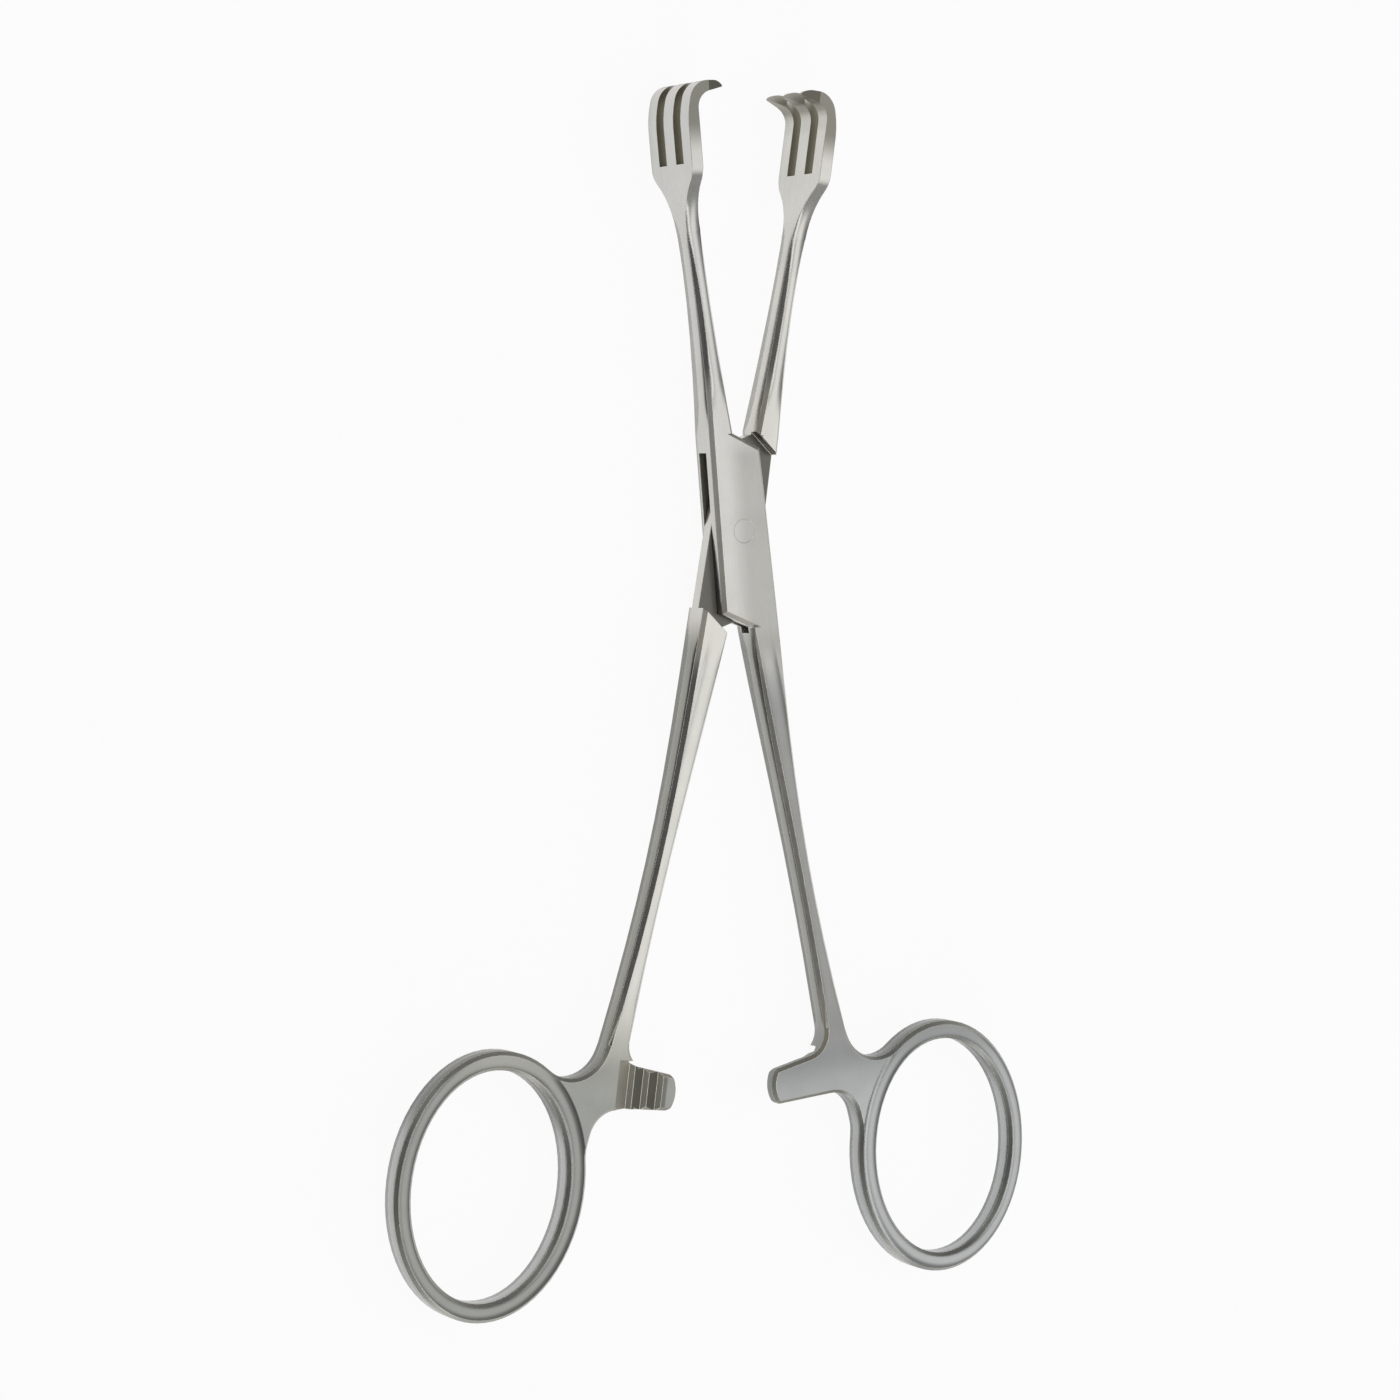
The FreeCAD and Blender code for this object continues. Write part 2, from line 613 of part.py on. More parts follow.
def cut_pin_hole(body, gap):
    """The hole for the pivot pin, right through the half."""
    hole = new_sketch(body, "PinHoleOutline", "XY_Plane")
    circle = hole.addGeometry(Part.Circle(FreeCAD.Vector(), FreeCAD.Vector(0, 0, 1), value("{pin_radius}")))
    hole.addConstraint(Sketcher.Constraint("Coincident", circle, 3, -1, 1))
    text = "{pin_radius} + %s" % gap
    index = hole.addConstraint(Sketcher.Constraint("Radius", circle, value(text)))
    hole.setExpression("Constraints[%d]" % index, cell(text))
    cut(body, "PinHole", hole, "2 * {lock_depth}", both_ways=True)


def set_in_frame(body, opening):
    """Turns a half about the pivot and lifts it so that the lock's back face is at the origin."""
    body.Placement = FreeCAD.Placement(FreeCAD.Vector(0, 0, value("{lock_depth}") / 2),
                                       FreeCAD.Rotation(FreeCAD.Vector(0, 0, 1), value(opening)))
    body.setExpression("Placement.Base.z", cell("{lock_depth} / 2"))
    body.setExpression("Placement.Rotation.Angle", cell(opening))


def build_half(name, hand):
    """One half of the forceps, from its finger ring up to its hooked fork."""
    body = doc.addObject("PartDesign::Body", name)
    body.Label = name
    build_ring_and_web(body, hand)
    build_ratchet(body, hand)
    build_lock(body, hand)
    build_arms(body, hand)
    build_fork(body, hand)
    return body


# Box half: right handle, slotted lock and left jaw
female_half = build_half("female_half", BOX_HALF)
cut_mortise(female_half)
cut_pin_hole(female_half, "{pin_seat_gap}")
set_in_frame(female_half, "{rest_opening} / 2")

# Tenon half: left handle, tenon and right jaw
male_half = build_half("male_half", TENON_HALF)
cut_tenon(male_half)
cut_pin_hole(male_half, "{pin_running_gap}")
set_in_frame(male_half, "-({rest_opening} / 2)")

# Pivot pin, riveted in the two plates and ground flush with them
pivot_pin = doc.addObject("Part::Cylinder", "pivot_pin")
pivot_pin.Label = "pivot_pin"
pivot_pin.setExpression("Radius", cell("{pin_radius}"))
pivot_pin.setExpression("Height", cell("{lock_depth}"))

doc.recompute()
for item in doc.Objects:
    if "Invalid" in item.State or "Error" in item.State:
        raise ValueError("%s failed: %s" % (item.Name, item.State))
os.makedirs("parts", exist_ok=True)
for piece in (female_half, male_half, pivot_pin):
    shape = piece.Shape
    if shape.isNull() or not shape.isValid() or len(shape.Solids) != 1:
        raise ValueError("%s is not one valid solid" % piece.Label)
    print("%s: volume %.1f mm3, box %s" % (piece.Label, shape.Volume, shape.BoundBox))
    shape.exportStep(os.path.join("parts", piece.Label + ".step"))
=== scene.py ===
"""Traction forceps in satin stainless steel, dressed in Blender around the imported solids.

Frame: +Z runs along the pivot axis towards the front face, +Y towards the jaws and +X to the right
seen from the front. Lengths are in metres, except where a name ends in _mm or a docstring says
millimetres.
"""
from __future__ import annotations

import logging
import math
from dataclasses import dataclass
from enum import Enum
from typing import Any

import bpy
import numpy as np
from mathutils import Matrix, Vector


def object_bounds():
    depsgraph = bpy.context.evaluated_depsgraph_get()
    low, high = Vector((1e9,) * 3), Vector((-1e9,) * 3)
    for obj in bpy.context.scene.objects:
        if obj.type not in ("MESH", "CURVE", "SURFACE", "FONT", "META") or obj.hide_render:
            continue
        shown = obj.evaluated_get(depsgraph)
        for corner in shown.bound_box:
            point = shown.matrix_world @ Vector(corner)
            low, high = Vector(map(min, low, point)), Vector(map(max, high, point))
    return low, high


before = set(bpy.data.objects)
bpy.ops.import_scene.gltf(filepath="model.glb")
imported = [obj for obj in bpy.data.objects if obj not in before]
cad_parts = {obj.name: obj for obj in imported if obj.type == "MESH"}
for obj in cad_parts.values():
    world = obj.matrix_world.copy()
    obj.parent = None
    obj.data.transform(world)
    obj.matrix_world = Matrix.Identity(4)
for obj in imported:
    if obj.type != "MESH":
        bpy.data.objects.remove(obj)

log = logging.getLogger("forceps")
MM = 0.001
CAD_BOX = [list(corner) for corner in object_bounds()]

# A limit beyond every end of the tool, in millimetres
FAR = 200.0
WHITE = (1.0, 1.0, 1.0, 1.0)

# Settings that many nodes share
EASED = {"interpolation_type": "SMOOTHSTEP"}
TIMES = {"operation": "MULTIPLY"}
TIMES_PLUS = {"operation": "MULTIPLY_ADD"}
MINUS = {"operation": "SUBTRACT"}
LARGER = {"operation": "MAXIMUM"}
SIZE_ONLY = {"operation": "ABSOLUTE"}
LENGTH = {"operation": "LENGTH"}
DOT = {"operation": "DOT_PRODUCT"}
SCALED = {"operation": "SCALE"}


class Hand(Enum):
    """The half that a piece belongs to; its value is the sign of the side its handle is on."""

    BOX = 1
    TENON = -1


class Spread(Enum):
    """The shape of a light or dark area in the studio's dome."""

    ROUND = "round"
    STRIP = "strip"


def linear(hex_colour: str) -> tuple[float, float, float, float]:
    """Turns an sRGB hex colour into linear light.

    Args:
        hex_colour: six hex digits, with or without a leading hash.

    Returns:
        Red, green, blue and an alpha of 1.
    """
    digits = hex_colour.lstrip("#")
    parts = [int(digits[i:i + 2], 16) / 255 for i in (0, 2, 4)]
    light = (c / 12.92 if c <= 0.04045 else ((c + 0.055) / 1.055) ** 2.4 for c in parts)
    return tuple(light) + (1.0,)


def add_node(tree: bpy.types.NodeTree, kind: str, settings: dict[str, Any] | None = None,
             **inputs: Any) -> bpy.types.Node:
    """Adds one node with its settings, values and links.

    Args:
        tree: the node tree that it goes into.
        kind: the node's type name.
        settings: its own properties by name.
        inputs: a value or an output socket for each input, by name with _ for a space, or by _N
            for the input numbered N.

    Returns:
        The new node.
    """
    node = tree.nodes.new(kind)
    for name, value in (settings or {}).items():
        setattr(node, name, value)
    for name, value in inputs.items():
        key = int(name[1:]) if name[0] == "_" else name.replace("_", " ")
        if isinstance(value, bpy.types.NodeSocket):
            tree.links.new(value, node.inputs[key])
        else:
            node.inputs[key].default_value = value
    return node


def new_material(name: str) -> tuple[bpy.types.Material, bpy.types.NodeTree]:
    """Makes an empty node material.

    Args:
        name: what the surface is and how it was made.

    Returns:
        The material and its node tree.
    """
    material = bpy.data.materials.new(name)
    material.use_nodes = True
    material.node_tree.nodes.clear()
    return material, material.node_tree


@dataclass(frozen=True)
class Zone:
    """A part of a half whose surface was finished in its own way.

    It lies between limits in the half's own frame, in millimetres from the pivot, and takes in
    the faces whose normal has an absolute Z between facing's two values. Its tint multiplies the
    steel's colour, and its roughness is added to the steel's. On several zones that tint is painted
    shade, not part of the finish.
    """

    name: str
    x: tuple[float, float] = (-FAR, FAR)
    y: tuple[float, float] = (-FAR, FAR)
    height: tuple[float, float] = (-1.0, 20.0)
    facing: tuple[float, float] = (0.8, 2.0)
    soft_x: float = 0.3
    soft_y: float = 0.3
    tint: str = "#FFFFFF"
    roughness: float = 0.0


BEVEL_TINT = "#FAF8F2"
# Both halves have the same hooks, fork sides and bevels. The bevels round the lock, bar and ring
# are blended by hand, so they reflect more softly than the belt-ground ones along the arms.
SHARED_ZONES = (
    Zone("hook_faces", x=(-3.2, 4.0), y=(52.3, 60.0), soft_x=0.8, soft_y=0.8, height=(-1.0, 9.0),
         facing=(-1.0, 0.93), tint="#B9B7B0", roughness=0.1),
    Zone("fork_side", y=(51.5, 60.0), soft_y=4.5, height=(4.0, 9.0), facing=(0.9, 2.0),
         tint="#A5A49E"),
    Zone("lock_bevels", x=(-9.0, 9.0), y=(-15.0, 17.0), soft_y=5.0, facing=(0.3, 0.93),
         tint=BEVEL_TINT, roughness=0.3),
    Zone("ring_bevels", y=(-FAR, -64.0), soft_y=6.0, facing=(0.3, 0.93), tint=BEVEL_TINT,
         roughness=0.12),
    Zone("bar_bevels", x=(-5.0, 9.0), y=(-80.0, -66.0), facing=(0.25, 0.93), tint=BEVEL_TINT,
         roughness=0.2),
)


@dataclass(frozen=True)
class ArmCrown:
    """The slight arch that the wheel leaves across a land, in millimetres in the half's frame.

    The land's middle line lies at x = start + slant * y, and fall is how far the land has dropped
    one millimetre away from that line. It holds between the two limits of y.
    """

    start: float
    slant: float
    fall: float
    limits: tuple[float, float]


@dataclass(frozen=True)
class SatinSteel:
    """Hardened martensitic stainless steel, belt-ground along each arm and satin finished.

    The eye sees a pale, slightly warm grey with fine streaks along the arms and round the rings,
    smooth bevels that show the room's dark side as a line, and arrises worn smooth, with a painted
    highlight on them. Slots that a belt can't reach stay dull, and shade is painted into them.
    """

    name: str
    hand: Hand
    zones: tuple[Zone, ...]
    colour: str = "#CBCAC6"
    roughness: float = 0.27
    roughness_spread: float = 0.05

    # The half's own frame and its ring
    turn_deg: float = 6.2
    mid_mm: float = 2.1
    ring_centre_mm: tuple[float, float] = (25.7, -84.4)
    ring_middle_mm: tuple[float, float] = (12.2, 15.6)
    ring_reach_mm: float = 15.8
    ring_fade_mm: float = 1.5

    # A 180-grit belt leaves scratches 0.02 to 0.05 mm wide, which is too fine to show, so they
    # are drawn 0.14 mm wide and some 8 mm long.
    scratch_mm: float = 0.14
    scratch_length_mm: float = 8.0
    scratch_depth_mm: float = 0.01
    scratch_strength: float = 0.16
    # Round the ring a radian is about this long
    radian_mm: float = 13.0
    cloud_mm: float = 4.5
    streak_tones: tuple[float, float] = (0.93, 1.05)
    cloud_tones: tuple[float, float] = (0.95, 1.03)

    # Fading of a zone's edge: over the normal's absolute z, and over height in millimetres
    slope_fade: float = 0.08
    height_fade_mm: float = 0.12

    # The hooked prongs are ground to a thin edge, so their arrises are left almost sharp
    arris_mm: float = 0.13
    prong_arris_mm: float = 0.015
    prong_start_mm: tuple[float, float] = (49.0, 52.0)
    # Painted highlight: the arrises' colour is brighter than the steel's
    arris_highlight_colour: str = "#F3F1E8"
    arris_roughness: float = 0.17
    arris_share: float = 0.8
    # Cosines of the turn at which the worn, highlighted arris starts to show and is full
    arris_turn: tuple[float, float] = (0.998, 0.93)

    # Painted shade in corners, from ambient occlusion: how far it reaches, and the tone where it is
    # darkest
    corner_shade_mm: float = 1.6
    corner_shade_tone: float = 0.72
    corner_shade_openness: tuple[float, float] = (0.15, 0.75)

    # The wheel leaves flat ground faces a little crowned: each fall is how far a face drops, in
    # millimetres, one millimetre from its middle. The squares of distances are capped, as
    # (largest, softness), so that wide lands stay flat towards their edges.
    arm_crowns: tuple[ArmCrown, ...] = (ArmCrown(0.06, -0.143, 0.15, (-60.0, -18.0)),
                                        ArmCrown(-1.05, -0.075, 0.34, (20.0, 39.0)))
    arm_cap: tuple[float, float] = (1.9, 0.8)
    ring_fall: float = 0.28
    ring_cap: tuple[float, float] = (1.8, 0.5)
    wall_fall: float = 0.28
    # What the lock's walls and the ratchet bar's lack of that crown
    flat_share: float = 0.65
    # Bevels have no crown: the normal's absolute z tells lands and walls from them
    land_slope: tuple[float, float] = (0.8, 0.95)
    wall_slope: tuple[float, float] = (0.6, 0.4)

    def places(self, tree: bpy.types.NodeTree) -> tuple[bpy.types.NodeSocket, ...]:
        """Adds the half's own frame: handle to the right, jaw to the left, in millimetres.

        Returns:
            The whole vector and its x, y and z.
        """
        spot = add_node(tree, "ShaderNodeTexCoord").outputs["Object"]
        place = add_node(tree, "ShaderNodeMapping", Vector=spot,
                         Location=(0.0, 0.0, -self.mid_mm),
                         Rotation=(0.0, 0.0, -math.radians(self.turn_deg)),
                         Scale=(self.hand.value / MM, 1 / MM, 1 / MM)).outputs[0]
        split = add_node(tree, "ShaderNodeSeparateXYZ", Vector=place)
        return place, split.outputs[0], split.outputs[1], split.outputs[2]

    def window(self, tree: bpy.types.NodeTree, value: bpy.types.NodeSocket,
               limits: tuple[float, float], soft: float) -> bpy.types.NodeSocket:
        """Adds a mask that is 1 between two limits and fades over a distance outside each."""
        low = add_node(tree, "ShaderNodeMapRange", EASED, Value=value,
                       From_Min=limits[0] - soft, From_Max=limits[0])
        high = add_node(tree, "ShaderNodeMapRange", EASED, Value=value,
                        From_Min=limits[1] + soft, From_Max=limits[1])
        return add_node(tree, "ShaderNodeMath", TIMES, _0=low.outputs[0],
                        _1=high.outputs[0]).outputs[0]

    def from_ring(self, tree: bpy.types.NodeTree, x: bpy.types.NodeSocket,
                  y: bpy.types.NodeSocket) -> tuple[bpy.types.NodeSocket, bpy.types.NodeSocket]:
        """Adds the vector from the ring's centre.

        Returns:
            The vector and its length, in millimetres.
        """
        flat = add_node(tree, "ShaderNodeCombineXYZ", X=x, Y=y)
        arm = add_node(tree, "ShaderNodeVectorMath", MINUS, _0=flat.outputs[0],
                       _1=self.ring_centre_mm + (0.0,)).outputs[0]
        return arm, add_node(tree, "ShaderNodeVectorMath", LENGTH, _0=arm).outputs["Value"]

    def grain(self, tree: bpy.types.NodeTree, place: bpy.types.NodeSocket, x: bpy.types.NodeSocket,
              y: bpy.types.NodeSocket, z: bpy.types.NodeSocket) -> bpy.types.NodeSocket:
        """Adds the belt's scratches: noise squeezed across the arm, and round the ring on the ring.

        On the ring the noise runs over the distance from its centre and over the angle round it.
        """
        across, along = 1 / self.scratch_mm, 1 / self.scratch_length_mm
        straight = add_node(tree, "ShaderNodeMapping", Vector=place, Scale=(across, along, across))
        arm, reach = self.from_ring(tree, x, y)
        parts = add_node(tree, "ShaderNodeSeparateXYZ", Vector=arm)
        angle = add_node(tree, "ShaderNodeMath", {"operation": "ARCTAN2"}, _0=parts.outputs[1],
                         _1=parts.outputs[0])
        round_it = add_node(tree, "ShaderNodeCombineXYZ", X=reach, Y=angle.outputs[0], Z=z)
        ring = add_node(tree, "ShaderNodeMapping", Vector=round_it.outputs[0],
                        Scale=(across, self.radian_mm * along, across))
        on_ring = add_node(tree, "ShaderNodeMapRange", EASED, Value=reach,
                           From_Min=self.ring_reach_mm + self.ring_fade_mm,
                           From_Max=self.ring_reach_mm)
        path = add_node(tree, "ShaderNodeMix", {"data_type": "VECTOR"}, Factor=on_ring.outputs[0],
                        _4=straight.outputs[0], _5=ring.outputs[0])
        return add_node(tree, "ShaderNodeTexNoise", Vector=path.outputs[1], Scale=1.0, Detail=3.0,
                        Roughness=0.62).outputs[0]

    def off_ring_middle(self, tree: bpy.types.NodeTree, x: bpy.types.NodeSocket,
                        y: bpy.types.NodeSocket) -> bpy.types.NodeSocket:
        """Adds the distance in or out from the ring's middle line, in millimetres.

        That line is an ellipse, so the distance along a ray is the ray's length less its length
        over rho, with rho the root of the sum of the squares of x and y over the half axes.
        """
        arm, length = self.from_ring(tree, x, y)
        unit = add_node(tree, "ShaderNodeVectorMath", {"operation": "DIVIDE"}, _0=arm,
                        _1=self.ring_middle_mm + (1.0,))
        rho = add_node(tree, "ShaderNodeVectorMath", LENGTH, _0=unit.outputs[0])
        inside = add_node(tree, "ShaderNodeMath", {"operation": "DIVIDE"}, _0=length,
                          _1=rho.outputs["Value"])
        return add_node(tree, "ShaderNodeMath", MINUS, _0=length, _1=inside.outputs[0]).outputs[0]

    def land_crown(self, tree: bpy.types.NodeTree, x: bpy.types.NodeSocket,
                   y: bpy.types.NodeSocket) -> bpy.types.NodeSocket:
        """Adds the height, in millimetres, by which lands fall away from their middle lines.

        Each term is a fall times the square of a distance: sideways from the middle line of an
        arm, and in or out from that of the ring.
        """
        terms = []
        for arm in self.arm_crowns:
            middle = add_node(tree, "ShaderNodeMath", TIMES_PLUS, _0=y, _1=arm.slant, _2=arm.start)
            off = add_node(tree, "ShaderNodeMath", MINUS, _0=x, _1=middle.outputs[0])
            terms.append((off.outputs[0], self.arm_cap, arm.fall,
                          self.window(tree, y, arm.limits, 6.0)))
        terms.append((self.off_ring_middle(tree, x, y), self.ring_cap, self.ring_fall,
                      self.window(tree, y, (-FAR, -72.0), 5.0)))

        total: Any = 0.0
        for off, (largest, softness), fall, mask in terms:
            square = add_node(tree, "ShaderNodeMath", TIMES, _0=off, _1=off)
            near = add_node(tree, "ShaderNodeMath", {"operation": "SMOOTH_MIN"},
                            _0=square.outputs[0], _1=largest, _2=softness)
            weight = add_node(tree, "ShaderNodeMath", TIMES, _0=mask, _1=-fall)
            total = add_node(tree, "ShaderNodeMath", TIMES_PLUS, _0=near.outputs[0],
                             _1=weight.outputs[0], _2=total).outputs[0]
        return total

    def crown(self, tree: bpy.types.NodeTree, x: bpy.types.NodeSocket, y: bpy.types.NodeSocket,
              z: bpy.types.NodeSocket, slope: bpy.types.NodeSocket) -> bpy.types.NodeSocket:
        """Adds the height, in millimetres, by which lands and walls fall away from their middles.

        A wall falls away up and down from the middle of the half's thickness.
        """
        is_land = add_node(tree, "ShaderNodeMapRange", EASED, Value=slope,
                           From_Min=self.land_slope[0], From_Max=self.land_slope[1])
        is_wall = add_node(tree, "ShaderNodeMapRange", EASED, Value=slope,
                           From_Min=self.wall_slope[0], From_Max=self.wall_slope[1])
        lands = add_node(tree, "ShaderNodeMath", TIMES, _0=self.land_crown(tree, x, y),
                         _1=is_land.outputs[0])

        on_bar = add_node(tree, "ShaderNodeMath", TIMES,
                          _0=self.window(tree, y, (-80.0, -66.0), 2.0),
                          _1=self.window(tree, x, (-5.0, 8.0), 2.0))
        flat = add_node(tree, "ShaderNodeMath", LARGER, _0=on_bar.outputs[0],
                        _1=self.window(tree, y, (-12.0, 12.0), 5.0))
        share = add_node(tree, "ShaderNodeMath", TIMES_PLUS, _0=flat.outputs[0],
                         _1=-self.flat_share, _2=1.0).outputs[0]
        on_arm = self.window(tree, y, (-FAR, 36.0), 6.0)
        for factor in (is_wall.outputs[0], -self.wall_fall, on_arm):
            share = add_node(tree, "ShaderNodeMath", TIMES, _0=share, _1=factor).outputs[0]
        square = add_node(tree, "ShaderNodeMath", TIMES, _0=z, _1=z)
        return add_node(tree, "ShaderNodeMath", TIMES_PLUS, _0=square.outputs[0], _1=share,
                        _2=lands.outputs[0]).outputs[0]

    def build(self) -> bpy.types.Material:
        """Makes the material."""
        material, tree = new_material(self.name)
        place, x, y, z = self.places(tree)
        facing = add_node(tree, "ShaderNodeSeparateXYZ",
                          Vector=add_node(tree, "ShaderNodeTexCoord").outputs["Normal"])
        slope = add_node(tree, "ShaderNodeMath", SIZE_ONLY, _0=facing.outputs[2]).outputs[0]
        height = add_node(tree, "ShaderNodeMath", SIZE_ONLY, _0=z).outputs[0]
        streaks = self.grain(tree, place, x, y, z)
        clouds = add_node(tree, "ShaderNodeTexNoise", Vector=place, Scale=1 / self.cloud_mm,
                          Detail=3.0, Roughness=0.55).outputs[0]

        # Base tone: streaks and clouds vary it by a few percent each
        fine = add_node(tree, "ShaderNodeMapRange", Value=streaks, From_Min=0.25, From_Max=0.75,
                        To_Min=self.streak_tones[0], To_Max=self.streak_tones[1])
        broad = add_node(tree, "ShaderNodeMapRange", Value=clouds, From_Min=0.3, From_Max=0.7,
                         To_Min=self.cloud_tones[0], To_Max=self.cloud_tones[1])
        level = add_node(tree, "ShaderNodeMath", TIMES, _0=fine.outputs[0], _1=broad.outputs[0])
        tone = add_node(tree, "ShaderNodeVectorMath", SCALED, _0=linear(self.colour)[:3],
                        Scale=level.outputs[0]).outputs[0]
        rough = add_node(tree, "ShaderNodeMapRange", Value=streaks, From_Min=0.25, From_Max=0.75,
                         To_Min=self.roughness - self.roughness_spread,
                         To_Max=self.roughness + self.roughness_spread).outputs[0]

        for zone in self.zones:
            mask = self.window(tree, slope, zone.facing, self.slope_fade)
            for value, limits, soft in ((x, zone.x, zone.soft_x), (y, zone.y, zone.soft_y),
                                        (height, zone.height, self.height_fade_mm)):
                mask = add_node(tree, "ShaderNodeMath", TIMES, _0=mask,
                                _1=self.window(tree, value, limits, soft)).outputs[0]
            mask.node.label = zone.name
            tone = add_node(tree, "ShaderNodeMix", {"data_type": "RGBA", "blend_type": "MULTIPLY"},
                            Factor=mask, _6=tone, _7=linear(zone.tint)).outputs[2]
            rough = add_node(tree, "ShaderNodeMath", TIMES_PLUS, _0=mask, _1=zone.roughness,
                             _2=rough).outputs[0]

        # Arrises: where a small rounding turns the normal, handling wore the steel smoother,
        # and the brighter colour there is a painted highlight
        radius = add_node(tree, "ShaderNodeMapRange", EASED, Value=y,
                          From_Min=self.prong_start_mm[0], From_Max=self.prong_start_mm[1],
                          To_Min=self.arris_mm * MM, To_Max=self.prong_arris_mm * MM)
        rounded = add_node(tree, "ShaderNodeBevel", {"samples": 8}, Radius=radius.outputs[0])
        true_normal = add_node(tree, "ShaderNodeNewGeometry").outputs["Normal"]
        along = add_node(tree, "ShaderNodeVectorMath", DOT, _0=rounded.outputs[0], _1=true_normal)
        rubbed_and_highlit = add_node(tree, "ShaderNodeMapRange", EASED, Value=along.outputs["Value"],
                          From_Min=self.arris_turn[0], From_Max=self.arris_turn[1],
                          To_Max=self.arris_share)
        rubbed_and_highlit = add_node(tree, "ShaderNodeMath", TIMES, _0=rubbed_and_highlit.outputs[0],
                          _1=self.window(tree, y, (-FAR, 44.0), 4.0)).outputs[0]
        tone = add_node(tree, "ShaderNodeMix", {"data_type": "RGBA"}, Factor=rubbed_and_highlit, _6=tone,
                        _7=linear(self.arris_highlight_colour)).outputs[2]
        rough = add_node(tree, "ShaderNodeMix", Factor=rubbed_and_highlit, A=rough,
                         B=self.arris_roughness).outputs[0]

        # Painted shade: corners that ambient occlusion finds closed in are darkened
        openness = add_node(tree, "ShaderNodeAmbientOcclusion", {"samples": 6},
                            Distance=self.corner_shade_mm * MM).outputs["AO"]
        corner_shade = add_node(tree, "ShaderNodeMapRange", Value=openness, To_Min=self.corner_shade_tone,
                        From_Min=self.corner_shade_openness[0], From_Max=self.corner_shade_openness[1])
        tone = add_node(tree, "ShaderNodeVectorMath", SCALED, _0=tone,
                        Scale=corner_shade.outputs[0]).outputs[0]

        crown = add_node(tree, "ShaderNodeBump", Strength=1.0, Distance=MM,
                         Height=self.crown(tree, x, y, z, slope), Normal=rounded.outputs[0])
        bump = add_node(tree, "ShaderNodeBump", Strength=self.scratch_strength,
                        Distance=self.scratch_depth_mm * MM, Height=streaks,
                        Normal=crown.outputs[0])
        shader = add_node(tree, "ShaderNodeBsdfPrincipled", Base_Color=tone, Metallic=1.0,
                          Roughness=rough, Normal=bump.outputs[0])
        add_node(tree, "ShaderNodeOutputMaterial", Surface=shader.outputs[0])
        return material


@dataclass(frozen=True)
class MattPaper:
    """Coated white background paper under the tool: matt, with a faint soft shadow left on it."""

    name: str = "white_background_paper"
    colour: str = "#F2F2F2"
    roughness: float = 0.9
    own_light: float = 0.93

    def build(self) -> bpy.types.Material:
        """Makes the material: the eye and the steel see it white, and the shadow stays faint."""
        material, tree = new_material(self.name)
        paper = add_node(tree, "ShaderNodeBsdfPrincipled", Base_Color=linear(self.colour),
                         Roughness=self.roughness)
        glow = add_node(tree, "ShaderNodeEmission", Color=WHITE, Strength=1.0)
        path = add_node(tree, "ShaderNodeLightPath")
        seen: Any = 0.0
        for ray in ("Is Camera Ray", "Is Glossy Ray", "Is Transmission Ray"):
            seen = add_node(tree, "ShaderNodeMath", LARGER, _0=seen,
                            _1=path.outputs[ray]).outputs[0]
        share = add_node(tree, "ShaderNodeMath", TIMES, _0=seen, _1=self.own_light)
        mixed = add_node(tree, "ShaderNodeMixShader", _0=share.outputs[0], _1=paper.outputs[0],
                         _2=glow.outputs[0])
        add_node(tree, "ShaderNodeOutputMaterial", Surface=mixed.outputs[0])
        return material


@dataclass(frozen=True)
class Patch:
    """A soft-edged light or dark area of the studio's dome, laid round the way it lies towards."""

    name: str
    towards: tuple[float, float, float]
    level: float
    inner_deg: float
    outer_deg: float
    spread: Spread = Spread.ROUND


